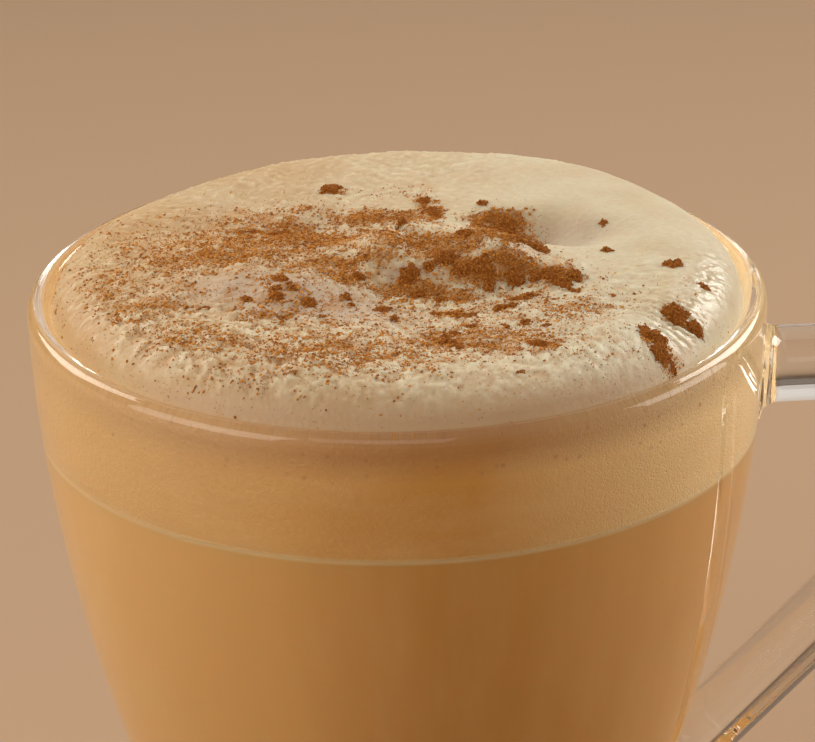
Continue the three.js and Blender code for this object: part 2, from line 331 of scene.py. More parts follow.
tone = mix(remap(axis_value("X"), -34 * MM, 2 * MM, 0, 1), coffee_painted_light_left, coffee_painted_shade_middle)
tone = mix(remap(axis_value("X"), 8 * MM, 30 * MM, 0, 0.8), tone, coffee_painted_light_right)
tone = mix(remap(noise_value(260, 3, (1, 1, 0.04)), 0.35, 0.7, 0, 0.35), tone, coffee_streaks)
tone = mix(remap(noise_value(38, 2), 0.3, 0.8, 0, 0.3), tone, coffee_clouds)
tone = mix(remap(axis_value("Z"), coffee_z - 0.5 * MM, coffee_z - 0.1 * MM, 0, 0.7), tone, coffee_line)
shader = node(tree, "ShaderNodeBsdfPrincipled", {
    "Base Color": tone, "Roughness": 0.4, "Specular IOR Level": 0.1,
    "Subsurface Weight": 0.6, "Subsurface Radius": (1.0, 0.5, 0.25), "Subsurface Scale": 0.004,
})
tree.links.new(shader.outputs["BSDF"], output.inputs["Surface"])
coffee.data.materials.append(coffee_look)
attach(coffee, "root")
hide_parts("coffee")

# The foam is steamed milk that stands over the rim as a soft dome with a round shoulder. It has
# a low mound on the left, a steep one in the middle with a ridge to its right, and a hollow
# behind that ridge. Its places are given in mm, with u across the front and v to the back.
foam_turn = math.radians(4)
foam_crown = 4.25
foam_foot = -0.6
foam_shoulder = 8.0
foam_edge = inner_radius(0) / MM - 0.3
foam_grid = 264
foam_side_levels = 12
mounds = [
    {"at": (-13, -4.5), "half": (15, 12.5), "steep": 2.2, "rise": 2.1, "turn": 0.1},
    {"at": (5, -3.5), "half": (9.5, 8), "steep": 2.4, "rise": 2.9, "turn": 0},
    {"at": (15.5, -4.5), "half": (8, 4.5), "steep": 1.5, "rise": 1.5, "turn": -0.35},
    {"at": (16.5, 8), "half": (8.5, 4.3), "steep": 1.3, "rise": -3, "turn": -0.15},
    {"at": (-15, 9.5), "half": (13, 4.5), "steep": 1.3, "rise": -1.1, "turn": 0},
    {"at": (33, -22), "half": (6, 4), "steep": 1.2, "rise": -0.8, "turn": -0.8},
]
swells = [(0.95, 0.35, 0.75), (2.35, 0.35, -0.65)]


def to_uv(x, y):
    """From the mug's own x and y to places on the foam as the photo shows it."""
    c, s = math.cos(foam_turn), math.sin(foam_turn)
    return x * c - y * s, x * s + y * c


def to_xy(u, v):
    """From places on the foam back to the mug's own x and y."""
    c, s = math.cos(foam_turn), math.sin(foam_turn)
    return u * c + v * s, -u * s + v * c


def blob(u, v, at, half, steep, turn):
    """1 in the middle of an oval spot, falling to 0 outside it."""
    c, s = np.cos(turn), np.sin(turn)
    a = ((u - at[0]) * c + (v - at[1]) * s) / half[0]
    b = (-(u - at[0]) * s + (v - at[1]) * c) / half[1]
    return np.exp(-((a * a + b * b) ** steep))


def foam_share(u, v):
    """0 on the top, rising to 1 where the shoulder meets the wall."""
    return np.clip((np.hypot(u, v) - (foam_edge - foam_shoulder)) / foam_shoulder, 0, 1)


def foam_rise(u, v):
    """Height of the foam's main form above the rim, in millimetres."""
    angle = np.arctan2(v, u)
    crown = foam_crown + 0.25 * np.sin(2 * angle + 0.6) + 0.15 * np.sin(3 * angle + 2)
    for middle, width, rise in swells:
        crown = crown + rise * np.exp(-(((angle - middle) / width) ** 2))
    share = foam_share(u, v)
    relief = 0
    for m in mounds:
        relief = relief + m["rise"] * blob(u, v, m["at"], m["half"], m["steep"], m["turn"])
    ripple = 0.18 * np.sin(0.42 * u + 1.3 * np.sin(0.23 * v)) * np.sin(0.37 * v + 0.8)
    relief = relief + (ripple + 0.1 * np.sin(0.9 * u - 0.5 * v)) * (1 - share)
    return foam_foot + (crown - foam_foot + relief) * np.sqrt(1 - share * share)


def speckle(u, v, scale, detail, seed):
    """Smooth noise from -1 to 1 at each point, with that many octaves."""
    return np.array([
        noise.fractal(Vector((a * scale, b * scale, seed)), 1.0, 2.0, detail) for a, b in zip(u, v)
    ])


def disc_grid(count):
    """A square grid drawn out to a disc of radius 1, so that its cells stay alike in size."""
    line = np.linspace(-1, 1, count + 1)
    a, b = np.meshgrid(line, line)
    a, b = a.ravel(), b.ravel()
    wide = np.abs(a) > np.abs(b)
    radius = np.where(wide, a, b)
    with np.errstate(divide="ignore", invalid="ignore"):
        turn = np.where(wide, math.pi / 4 * b / a, math.pi / 2 - math.pi / 4 * a / b)
    turn = np.nan_to_num(turn)
    return radius * np.cos(turn), radius * np.sin(turn)


# Where cinnamon lies: the middle and half size of each drift in mm, its turn and how thick it is
drifts = [
    ((8.5, -9), (5, 2.2), -0.1, 1.0),
    ((18.5, -8.5), (3.4, 2), 0.0, 0.95),
    ((13, -7.8), (4.5, 2.6), 0.0, 0.95),
    ((3, -12.4), (9.5, 1.7), -0.05, 0.9),
    ((-6.5, -11), (5, 2.4), -0.35, 0.8),
    ((6.5, -17.4), (3.8, 1.5), 0.0, 0.8),
    ((14, -13), (3.6, 1.4), 0.1, 0.8),
    ((12.3, -16), (1.8, 2), 0.0, 0.75),
    ((12, -2.5), (5, 4), 0.0, 0.9),
    ((12.5, 11.5), (4.6, 2.6), 0.1, 1.0),
    ((15.5, 10), (3, 2.2), -0.2, 0.95),
    ((4, -4.5), (9, 4.5), 0.0, 0.84),
    ((4.2, 14), (1.7, 6), 0.25, 0.9),
    ((-7, 22), (2.2, 3), 0.2, 0.66),
    ((1, 21), (6, 3), 0.0, 0.42),
    ((-2, 13), (10, 2.6), -0.1, 0.8),
    ((-15, 12), (7, 3), 0.15, 0.76),
    ((-15, 15.5), (12, 4), 0.15, 0.54),
    ((-22, 9), (9, 8), 0.2, 0.5),
    ((-10.5, 8), (2, 9), 0.1, 0.9),
    ((-10, 3), (15, 11), 0.1, 0.76),
    ((-20, -4), (15, 6), -0.1, 0.68),
    ((-6, -7.5), (10, 2.6), 0.0, 0.8),
    ((-14.5, -10.8), (4.5, 1.3), 0.1, 0.72),
    ((-13, -18.5), (8, 2.6), 0.1, 0.68),
    ((-12, -15.5), (12, 4), -0.2, 0.62),
    ((-7.5, -21), (5, 1.6), 0.1, 0.62),
    ((-27, -15), (9, 7), 0.5, 0.56),
    ((-32, -9), (6, 13), 0.3, 0.52),
    ((-23, -24), (10, 6), -0.5, 0.58),
    ((9, -25), (15, 7), 0.0, 0.64),
    ((19, -17), (8, 6), 0.0, 0.56),
    ((-6, -28), (22, 9), 0.0, 0.59),
    ((16, -27), (3, 2.6), 0.0, 0.72),
    ((32, -17.8), (2.6, 1.6), -0.5, 0.9),
    ((29.3, -24), (1.6, 2.6), 0.3, 0.9),
    ((-18, 0), (26, 22), 0.0, 0.5),
    ((0, -14), (37, 26), 0.0, 0.46),
]


def shaded_fronts_at(u, v):
    """1 on the fronts of two mounds and the hollow's right side, which face away from the lamps: the foam
    there is smooth, and greyish as painted shade.
    """
    low_mound = blob(u, v, (-12, -15), (14, 4.4), 1.6, -0.28)
    steep_mound = blob(u, v, (1.5, -10), (3.2, 1.2), 1.5, 0)
    hollow = 0.8 * blob(u, v, (20, 9), (5, 3), 1.5, -0.2)
    return np.maximum(np.maximum(low_mound, steep_mound), hollow)


def powder_at(u, v):
    """How thickly cinnamon lies, from 0 to 1, in strands with ragged edges and small gaps."""
    ragged_u = u + 1.6 * speckle(u, v, 0.42, 4, 21.0)
    ragged_v = v + 1.2 * speckle(u, v, 0.42, 4, 33.0)
    total = np.zeros_like(u)
    for at, half, turn, weight in drifts:
        total = np.maximum(total, weight * blob(ragged_u, ragged_v, at, half, 1.2, turn))
    right_side = blob(u, v, (32, 10), (13, 18), 2.5, -0.25)
    far_edge = blob(u, v, (8, 34), (40, 10), 2.0, 0.0)
    bare = np.maximum(right_side, far_edge)
    strands = speckle(0.35 * u, 1.3 * v, 1.0, 3, 44.0)
    return total * (1 + 0.3 * strands) * (1 - 0.88 * bare) * (1 - 0.15 * shaded_fronts_at(u, v))


def fine_relief(u, v):
    """Crumbs, feathery folds and pits in the foam's skin in mm, and how wet and glossy it is."""
    share = foam_share(u, v)
    radius, angle = np.hypot(u, v), np.arctan2(v, u)
    smooth = np.maximum(blob(u, v, (24, 14), (19, 22), 2.0, -0.4), 0.85 * shaded_fronts_at(u, v))
    rough = (1 - 0.85 * smooth) * (1 - share ** 6)
    left = blob(u, v, (-26, -6), (16, 22), 1.6, 0.0)
    front_left = blob(u, v, (-10, -24), (30, 14), 1.6, -0.1)
    wet = blob(u, v, (33.5, -20), (6.5, 4.2), 1.5, -0.8)
    brim = np.exp(-((share - 0.6) / 0.28) ** 2 - ((angle + 0.3) / 0.3) ** 2)
    crumb = speckle(u, v, 0.95, 4, 3.1)
    grit = speckle(u, v, 2.6, 2, 9.7)
    fold = 1 - 2.4 * np.abs(speckle(angle * 11, radius * 0.55, 1.0, 3, 14.0))
    ridges = np.sin(2 * math.pi * (angle * 31 + 0.5 * speckle(u, v, 0.4, 2, 2.0)))
    relief = ((0.15 + 0.1 * left) * crumb + 0.09 * grit + 0.2 * front_left * fold) * rough
    relief = relief + 0.13 * wet * ridges * (1 - share ** 8) + 0.04 * grit * smooth
    relief = relief + 0.22 * brim * speckle(u, v, 1.5, 2, 6.0)
    return relief, np.maximum(wet, brim)


def grid_faces(cells):
    """The faces of a square grid with that many cells along each side."""
    count = cells + 1
    corners = [j * count + i for j in range(cells) for i in range(cells)]
    return [(k, k + 1, k + count + 1, k + count) for k in corners]


def grid_edge(cells):
    """The numbers of the grid's outer points, in order round it."""
    count = cells + 1
    edge = list(range(count))
    edge += [j * count + cells for j in range(1, count)]
    edge += [cells * count + i for i in range(cells - 1, -1, -1)]
    edge += [j * count for j in range(cells - 1, 0, -1)]
    return edge


def add_foam_side(points, faces, edge):
    """Takes the foam's skin from its edge down the glass to the coffee, and closes it there."""
    ring = edge
    levels = np.linspace(0, 1, foam_side_levels + 1)[1:]
    for level in levels:
        start = len(points)
        for k in edge:
            x, y, top_z = points[k]
            turn = math.atan2(y, x)
            z = top_z + (coffee_z - top_z) * level
            in_wall = inner_radius(rim_z - z) + reach
            grow = min(level / levels[0], 1)
            radius = foam_edge * MM + (in_wall - foam_edge * MM) * grow
            points.append((radius * math.cos(turn), radius * math.sin(turn), z))
        lower = list(range(start, len(points)))
        for i in range(len(edge)):
            j = (i + 1) % len(edge)
            faces.append((ring[j], ring[i], lower[i], lower[j]))
        ring = lower
    points.append((0, 0, coffee_z))
    middle = len(points) - 1
    for i in range(len(ring)):
        faces.append((middle, ring[(i + 1) % len(ring)], ring[i]))


def foam_mesh():
    """The whole foam, with what its material and the cinnamon read kept on its points."""
    a, b = disc_grid(foam_grid)
    x, y = a * foam_edge, b * foam_edge
    u, v = to_uv(x, y)
    powder = powder_at(u, v)
    relief, wet = fine_relief(u, v)
    z = rim_z + (foam_rise(u, v) + relief) * MM
    points = [(p * MM, q * MM, r) for p, q, r in zip(x, y, z)]
    faces = grid_faces(foam_grid)
    add_foam_side(points, faces, grid_edge(foam_grid))
    made = mesh_object("milk_foam_froth", points, faces)
    made.data.set_sharp_from_angle(angle=sharpest)
    side_points = len(points) - len(powder)
    for name, values, on_side in (
        ("powder", powder, -1.0), ("relief", relief, 0.0), ("wet", wet, 0.0), ("shaded_fronts", shaded_fronts_at(u, v), 0.0),
    ):
        attribute = made.data.attributes.new(name, "FLOAT", "POINT")
        attribute.data.foreach_set("value", np.concatenate([values, np.full(side_points, on_side)]))
    return made


foam = foam_mesh()

foam_look, tree, output, place = material("milk_foam")
foam_right = (0.76, 0.71, 0.52, 1)
foam_left = (0.66, 0.46, 0.235, 1)
foam_warm = (0.60, 0.36, 0.15, 1)
foam_clouds = (0.62, 0.45, 0.27, 1)
foam_painted_shade_dips = (0.54, 0.34, 0.17, 1)
foam_painted_light_crests = (0.86, 0.79, 0.60, 1)
foam_painted_shade = (0.60, 0.47, 0.37, 1)
foam_low_front_dust_and_shade = (0.60, 0.40, 0.23, 1)
foam_stained = (0.56, 0.27, 0.078, 1)
side_painted_light_left = (0.60, 0.375, 0.16, 1)
side_painted_shade_middle = (0.53, 0.25, 0.043, 1)
side_painted_light_right = (0.78, 0.57, 0.30, 1)
side_clouds = (0.66, 0.42, 0.18, 1)
side_specks = (0.36, 0.17, 0.06, 1)
side_foot = (0.80, 0.56, 0.30, 1)
lip_shade_left = (0.5, 0.31, 0.14, 1)
lip_shade_middle = (0.27, 0.10, 0.022, 1)
lip_shade_right = (0.46, 0.31, 0.15, 1)


def point_value(name):
    """The value that the mesh keeps on its points under that name."""
    return node(tree, "ShaderNodeAttribute", attribute_name=name).outputs["Fac"]


def maths(operation, a, b):
    """A node that adds or multiplies two numbers."""
    return node(tree, "ShaderNodeMath", {0: a, 1: b}, operation=operation).outputs["Value"]


def cell_distance(scale):
    """How far each point is from the middle of its cell, for bubbles, pits and specks."""
    return node(tree, "ShaderNodeTexVoronoi", {"Vector": place, "Scale": scale}).outputs["Distance"]


def over_rim(low, high, to_low, to_high):
    """A number that changes with height, between two heights over the rim in mm."""
    return remap(axis_value("Z"), rim_z + low * MM, rim_z + high * MM, to_low, to_high)


# The top is cream on the right and tan on the left, and stained by cinnamon. It is painted darker as shade in
# its dips and on the mound fronts, lighter as light on its crests, and browner at the low front for dust and
# shade
leftness = remap(axis_value("X"), -36 * MM, 20 * MM, 1, 0)
top = mix(leftness, foam_right, foam_left)
top = mix(maths("MULTIPLY", remap(noise_value(75, 4), 0.42, 0.62, 0, 0.8), leftness), top, foam_warm)
top = mix(remap(noise_value(150, 4), 0.42, 0.75, 0, 0.5), top, foam_clouds)
# Painted shade in the dips and painted light on the crests
top = mix(remap(point_value("relief"), -0.25, 0.12, 0.75, 0), top, foam_painted_shade_dips)
top = mix(remap(point_value("relief"), 0.02, 0.28, 0, 0.7), top, foam_painted_light_crests)
# Painted shade: the mound fronts that face away from the lamps are painted greyish
top = mix(remap(point_value("shaded_fronts"), 0, 1, 0, 0.7), top, foam_painted_shade)
# The low front of the top is painted browner, partly for fine cinnamon dust and partly as painted shade on
# the slope that faces away from the lamps
front = remap(axis_value("Y"), -22 * MM, -34 * MM, 0, 1)
top = mix(maths("MULTIPLY", over_rim(3.6, 0.5, 0, 0.8), front), top, foam_low_front_dust_and_shade)
stained = maths("ADD", point_value("powder"), remap(noise_value(430, 4), 0.25, 0.75, -0.35, 0.35))
top = mix(remap(stained, 0.4, 0.85, 0, 0.85), top, foam_stained)

# The side is painted darkest in the middle as shade, lighter to the left and right as light from the side
# lamps, and darker under the lip as shade. It ends in a thin pale line on the coffee
side = mix(remap(axis_value("X"), -38 * MM, 0, 0, 1), side_painted_light_left, side_painted_shade_middle)
side = mix(remap(axis_value("X"), 5 * MM, 38 * MM, 0, 1), side, side_painted_light_right)
side = mix(remap(noise_value(90, 4, (1, 1, 3)), 0.35, 0.75, 0, 0.35), side, side_clouds)
specks = maths("MULTIPLY", remap(cell_distance(650), 0.08, 0.24, 0.9, 0), over_rim(-9, -4.5, 0, 1))
specks = maths("MULTIPLY", specks, remap(noise_value(120, 2), 0.43, 0.56, 0, 1))
side = mix(specks, side, side_specks)
side = mix(remap(axis_value("Z"), coffee_z + 0.5 * MM, coffee_z, 0, 0.5), side, side_foot)
# Painted shade: a darker band just under the lip, darkest in the middle of the front
lip_shade = mix(remap(axis_value("X"), -38 * MM, -2 * MM, 0, 1), lip_shade_left, lip_shade_middle)
lip_shade = mix(remap(axis_value("X"), 8 * MM, 36 * MM, 0, 1), lip_shade, lip_shade_right)
side = mix(over_rim(-6.5, -3.2, 0, 0.65), side, lip_shade)

# Fine bubbles everywhere, with open pits against the glass on the right
pitted = maths("MULTIPLY", remap(axis_value("X"), 8 * MM, 30 * MM, 0.2, 1.0), over_rim(-4, -1, 1.0, 0.15))
pits = maths("MULTIPLY", remap(cell_distance(3200), 0.15, 0.45, 0, 1), pitted)
skin = maths("ADD", maths("MULTIPLY", cell_distance(1500), 0.5), pits)
froth = node(tree, "ShaderNodeBump", {"Height": skin, "Strength": 0.5, "Distance": 0.0002})
shader = node(tree, "ShaderNodeBsdfPrincipled", {
    "Base Color": mix(over_rim(-0.4, -2.2, 0, 1), top, side),
    "Roughness": remap(point_value("wet"), 0, 0.8, 0.5, 0.16), "Specular IOR Level": 0.4,
    "Subsurface Weight": 0.5, "Subsurface Radius": (1.0, 0.65, 0.4), "Subsurface Scale": 0.0022,
    "Normal": froth.outputs["Normal"],
})
tree.links.new(shader.outputs["BSDF"], output.inputs["Surface"])
foam.data.materials.append(foam_look)
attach(foam, "root")
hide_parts("milk_foam")

# Cinnamon is shaken over the foam. Most of it is a fine orange-brown powder, which clings into
# crumbs and small heaps where it fell thickly. Each heap is a low uneven mound on the foam,
# with loose grains on it and around it.
clump_drifts = [
    {"at": (10, -9.5), "spread": (10, 2.4), "count": 20, "size": (1.7, 2.8)},
    {"at": (13, -2), "spread": (6, 3.5), "count": 12, "size": (1.6, 2.8)},
    {"at": (13.5, 9), "spread": (4, 2.4), "count": 8, "size": (1.6, 2.4)},
    {"at": (-13, -14), "spread": (9, 3.6), "count": 11, "size": (1.2, 2)},
    {"at": (-7, 6), "spread": (13, 5), "count": 9, "size": (1.3, 2.2)},
    {"at": (9, -22), "spread": (11, 4), "count": 8, "size": (1.3, 2.2)},
    {"at": (32.1, -18.2), "spread": (1.5, 0.7), "count": 4, "size": (2.4, 3.2)},
    {"at": (29, -23), "spread": (0.8, 1.3), "count": 3, "size": (2.4, 3)},
]
clump_clearance = 2.2
clump_reach = 37.5
clump_corners = 12
clump_height = 0.3
clump_sides = 22
clump_rings = 6
# Single heaps: u, v, half length and half breadth in mm, and turn
marked_clumps = [
    (-13.8, -14.4, 0.85, 0.9, 0), (-12.4, -13.5, 0.5, 0.45, 0), (-5.8, -14.8, 0.8, 0.8, 0),
    (-5.2, -15.9, 0.55, 0.4, 0), (-0.3, -18.8, 0.8, 0.6, 0), (4.2, -17.3, 1.2, 0.8, 0.1),
    (6.4, -17.5, 1.2, 0.9, 0), (8.5, -17.3, 1.1, 0.7, -0.2), (12.3, -15.6, 1.5, 1.1, 0),
    (14.4, -19.9, 0.9, 0.7, 0.4), (16.6, -21, 0.8, 0.5, 0), (15.6, -26.8, 1.5, 1.1, -0.4),
    (20.4, -8.6, 1.3, 1.1, 0), (18.2, -9.5, 1.4, 0.9, 0), (16.2, -8.9, 1.4, 1.0, 0.2),
    (20.3, -11.8, 0.8, 0.5, 0), (24.6, -13.1, 0.35, 0.35, 0), (24.4, 10.1, 0.6, 0.7, 0),
    (24.4, 0, 0.8, 0.7, 0.3), (31.8, -4.9, 1.2, 1.3, 0), (35, -9.5, 0.7, 0.8, 0.5),
    (31.4, -17, 1.5, 1.4, -0.4), (33.6, -18.5, 1.3, 1.0, -0.6), (29.0, -22.7, 1.1, 1.2, 0),
    (29.4, -25, 1.3, 1.3, 0), (-7.8, 21.7, 1.6, 1.5, 0), (3.3, 17, 0.9, 1.3, 0.3),
    (4.6, 13.2, 0.9, 1.6, 0.3), (10.3, 14.5, 0.8, 0.7, 0), (-24, -16.2, 0.7, 0.6, 0),
    (-21.7, -16.8, 1.1, 0.6, 0), (5.3, -23.9, 0.8, 0.7, 0),
    (6.5, -26.7, 1.1, 1.2, 0), (13.4, -33.1, 0.7, 0.6, 0), (14.6, -13.1, 1.6, 0.9, 0.1),
    (7.6, -9.2, 1.5, 1.1, 0), (9.8, -9, 1.3, 1.0, 0.2), (5.2, -13.6, 1.4, 0.7, 0),
    (2.4, -12.8, 1.2, 0.7, 0), (-10.2, -16.6, 0.8, 0.7, 0), (-8.4, -19.2, 0.7, 0.5, 0),
]


def number_row(seed):
    """The same row of numbers from 0 to 1 each time, for the places of the clumps."""
    state = seed
    while True:
        state = (state * 1664525 + 1013904223) % 4294967296
        yield state / 4294967296


def spread_clumps():
    """Clumps spread over the drifts by a rule, so that each keeps the place that it has in the solid."""
    row = number_row(11)
    taken = []
    for drift in clump_drifts:
        for _ in range(drift["count"]):
            u, v = (
                middle + spread * (next(row) + next(row) + next(row) - 1.5)
                for middle, spread in zip(drift["at"], drift["spread"])
            )
            low, high = drift["size"]
            width = low + (high - low) * next(row)
            # The solid draws a number here for each corner of its clump
            for _ in range(clump_corners):
                next(row)
            turn = next(row) * 2 * math.pi
            longer = 1 + 0.4 * next(row)
            free = all(math.hypot(u - t[0], v - t[1]) > clump_clearance for t in taken)
            if free and math.hypot(u, v) < clump_reach:
                taken.append((u, v, width / 2 * longer, width / 2, turn))
    return taken


def clump_points(number, u0, v0, length, breadth, turn):
    """A clump's middle and then its rings of points, as u, v and height over the rim."""
    c, s = math.cos(turn), math.sin(turn)
    u, v, share = [u0], [v0], [0.0]
    for k in range(1, clump_rings + 1):
        for i in range(clump_sides):
            angle = 2 * math.pi * i / clump_sides
            ragged_at = Vector((math.cos(angle) * 2.2, math.sin(angle) * 2.2, number * 7.3))
            edge = 1 + 0.8 * noise.noise(ragged_at)
            a = math.cos(angle) * length * edge * k / clump_rings
            b = math.sin(angle) * breadth * edge * k / clump_rings
            u.append(u0 + a * c - b * s)
            v.append(v0 + a * s + b * c)
            share.append(k / clump_rings)
    u, v, share = np.array(u), np.array(v), np.array(share)
    dome = clump_height * min(length, breadth) * np.sqrt(np.maximum(1 - share ** 2, 0))
    lump = dome * (1 + 0.9 * speckle(u, v, 1.5, 2, 5.5))
    rise = foam_rise(u, v) + lump + 0.2 * speckle(u, v, 3.2, 2, 8.5) - 0.3 * share ** 4
    return zip(u, v, rise)


def clump_mesh(clumps):
    """Low domes draped over the foam, with an uneven edge and top."""
    points, faces = [], []
    for number, clump in enumerate(clumps):
        start = len(points)
        for u, v, rise in clump_points(number, *clump):
            x, y = to_xy(u, v)
            points.append((x * MM, y * MM, rim_z + rise * MM))
        for i in range(clump_sides):
            j = (i + 1) % clump_sides
            faces.append((start, start + 1 + i, start + 1 + j))
            for k in range(clump_rings - 1):
                inner = start + 1 + k * clump_sides
                outer = inner + clump_sides
                faces.append((inner + i, outer + i, outer + j, inner + j))
        last = start + 1 + (clump_rings - 1) * clump_sides
        faces.append(tuple(last + i for i in range(clump_sides - 1, -1, -1)))
    return mesh_object("cinnamon_clumps", points, faces)


full_turn = 6.283


def powder_tree():
    """A node group that spreads grains over a surface, thickly where its powder value is high."""
    made = bpy.data.node_groups.new("spread_grains", "GeometryNodeTree")
    face = made.interface
    face.new_socket("Surface", in_out="INPUT", socket_type="NodeSocketGeometry")
    for name, kind in (
        ("Grains per square metre", "Float"), ("Thinnest", "Float"), ("Thickest", "Float"),
        ("Smallest", "Float"), ("Largest", "Float"), ("Flatness", "Float"), ("Tumble", "Float"),
        ("Raggedness", "Float"), ("Cluster size", "Float"), ("Grain sides", "Int"),
        ("Grain rings", "Int"), ("Seed", "Int"), ("Finish", "Material"),
    ):
        face.new_socket(name, in_out="INPUT", socket_type="NodeSocket" + kind)
    face.new_socket("Grains", in_out="OUTPUT", socket_type="NodeSocketGeometry")
    given = node(made, "NodeGroupInput").outputs

    def vector(x, y, z):
        return node(made, "ShaderNodeCombineXYZ", {0: x, 1: y, 2: z}).outputs["Vector"]

    powder = node(made, "GeometryNodeInputNamedAttribute", {"Name": "powder"}, data_type="FLOAT")
    spots = node(made, "ShaderNodeTexNoise", {"Scale": given["Cluster size"], "Detail": 3})
    total = node(made, "ShaderNodeMath", {
        0: powder.outputs["Attribute"], 1: spots.outputs["Fac"],
    }, operation="ADD")
    share = node(made, "ShaderNodeMapRange", {
        "Value": total.outputs["Value"], "From Min": given["Thinnest"], "From Max": given["Thickest"],
    })
    squared = node(made, "ShaderNodeMath", {0: share.outputs["Result"], 1: 2.0}, operation="POWER")
    density = node(made, "ShaderNodeMath", {
        0: squared.outputs["Value"], 1: given["Grains per square metre"],
    }, operation="MULTIPLY")
    spread = node(made, "GeometryNodeDistributePointsOnFaces", {
        "Mesh": given["Surface"], "Density": density.outputs["Value"], "Seed": given["Seed"],
    })
    ball = node(made, "GeometryNodeMeshUVSphere", {
        "Radius": 0.5, "Segments": given["Grain sides"], "Rings": given["Grain rings"],
    })
    grain = node(made, "GeometryNodeTransform", {
        "Geometry": ball.outputs["Mesh"], "Scale": vector(1.0, 1.0, given["Flatness"]),
    })
    size = node(made, "FunctionNodeRandomValue", {
        0: vector(given["Smallest"], given["Smallest"], given["Smallest"]),
        1: vector(given["Largest"], given["Largest"], given["Largest"]), "Seed": given["Seed"],
    }, data_type="FLOAT_VECTOR")
    placed = node(made, "GeometryNodeInstanceOnPoints", {
        "Points": spread.outputs["Points"], "Instance": grain.outputs["Geometry"],
        "Rotation": spread.outputs["Rotation"], "Scale": size.outputs[0],
    })
    turn = node(made, "FunctionNodeRandomValue", {
        0: (0, 0, 0), 1: vector(given["Tumble"], given["Tumble"], full_turn), "Seed": given["Seed"],
    }, data_type="FLOAT_VECTOR")
    tumbled = node(made, "GeometryNodeRotateInstances", {
        "Instances": placed.outputs["Instances"], "Rotation": turn.outputs[0],
    })
    shade = node(made, "FunctionNodeRandomValue", {2: 0.0, 3: 1.0, "Seed": given["Seed"]}, data_type="FLOAT")
    toned = node(made, "GeometryNodeStoreNamedAttribute", {
        "Geometry": tumbled.outputs["Instances"], "Name": "tone", "Value": shade.outputs[1],
    }, data_type="FLOAT", domain="INSTANCE")
    real = node(made, "GeometryNodeRealizeInstances", {"Geometry": toned.outputs["Geometry"]})
    dents = node(made, "ShaderNodeTexNoise", {"Scale": 1400.0, "Detail": 1})
    centred = node(made, "ShaderNodeVectorMath", {
        0: dents.outputs["Color"], 1: (0.5, 0.5, 0.5),
    }, operation="SUBTRACT")
    shift = node(made, "ShaderNodeVectorMath", {
        0: centred.outputs["Vector"], "Scale": given["Raggedness"],
    }, operation="SCALE")
    uneven = node(made, "GeometryNodeSetPosition", {
        "Geometry": real.outputs["Geometry"], "Offset": shift.outputs["Vector"],
    })
    finished = node(made, "GeometryNodeSetMaterial", {
        "Geometry": uneven.outputs["Geometry"], "Material": given["Finish"],
    })
    node(made, "NodeGroupOutput", {"Grains": finished.outputs["Geometry"]})
    return made


def spread_grains(name, source, group, values):
    """A plain mesh of the grains that the node group spreads over the source mesh."""
    made = bpy.data.objects.new(name, source.copy())
    bpy.context.scene.collection.objects.link(made)
    spread = made.modifiers.new("grains", "NODES")
    spread.node_group = group
    sockets = {s.name: s.identifier for s in group.interface.items_tree if s.in_out == "INPUT"}
    for key, value in values.items():
        spread[sockets[key]] = value
    graph = bpy.context.evaluated_depsgraph_get()
    mesh = bpy.data.meshes.new_from_object(made.evaluated_get(graph))
    made.modifiers.clear()
    mesh.materials.clear()
    mesh.materials.append(values["Finish"])
    made.data = mesh
    return made


cinnamon_look, tree, output, place = material("cinnamon_powder")
darkest_grain = (0.28, 0.085, 0.012, 1)
palest_grain = (0.78, 0.36, 0.07, 1)
grain_mottle = (0.60, 0.25, 0.04, 1)
heaped_grain = (0.27, 0.075, 0.006, 1)
mottle = noise_value(3200, 3)
tone = mix(point_value("tone"), darkest_grain, palest_grain)
tone = mix(remap(mottle, 0.35, 0.75, 0, 0.4), tone, grain_mottle)
tone = mix(remap(point_value("powder"), 0.65, 1, 0, 0.5), tone, heaped_grain)
grit = node(tree, "ShaderNodeBump", {"Height": mottle, "Strength": 0.8, "Distance": 0.00015})
shader = node(tree, "ShaderNodeBsdfPrincipled", {
    "Base Color": tone, "Roughness": 0.85, "Specular IOR Level": 0.15, "Normal": grit.outputs["Normal"],
})
tree.links.new(shader.outputs["BSDF"], output.inputs["Surface"])

clumps = clump_mesh(spread_clumps() + marked_clumps)
clumps.data.materials.append(cinnamon_look)
heaped = clumps.data.attributes.new("powder", "FLOAT", "POINT")
heaped.data.foreach_set("value", [1.0] * len(clumps.data.vertices))

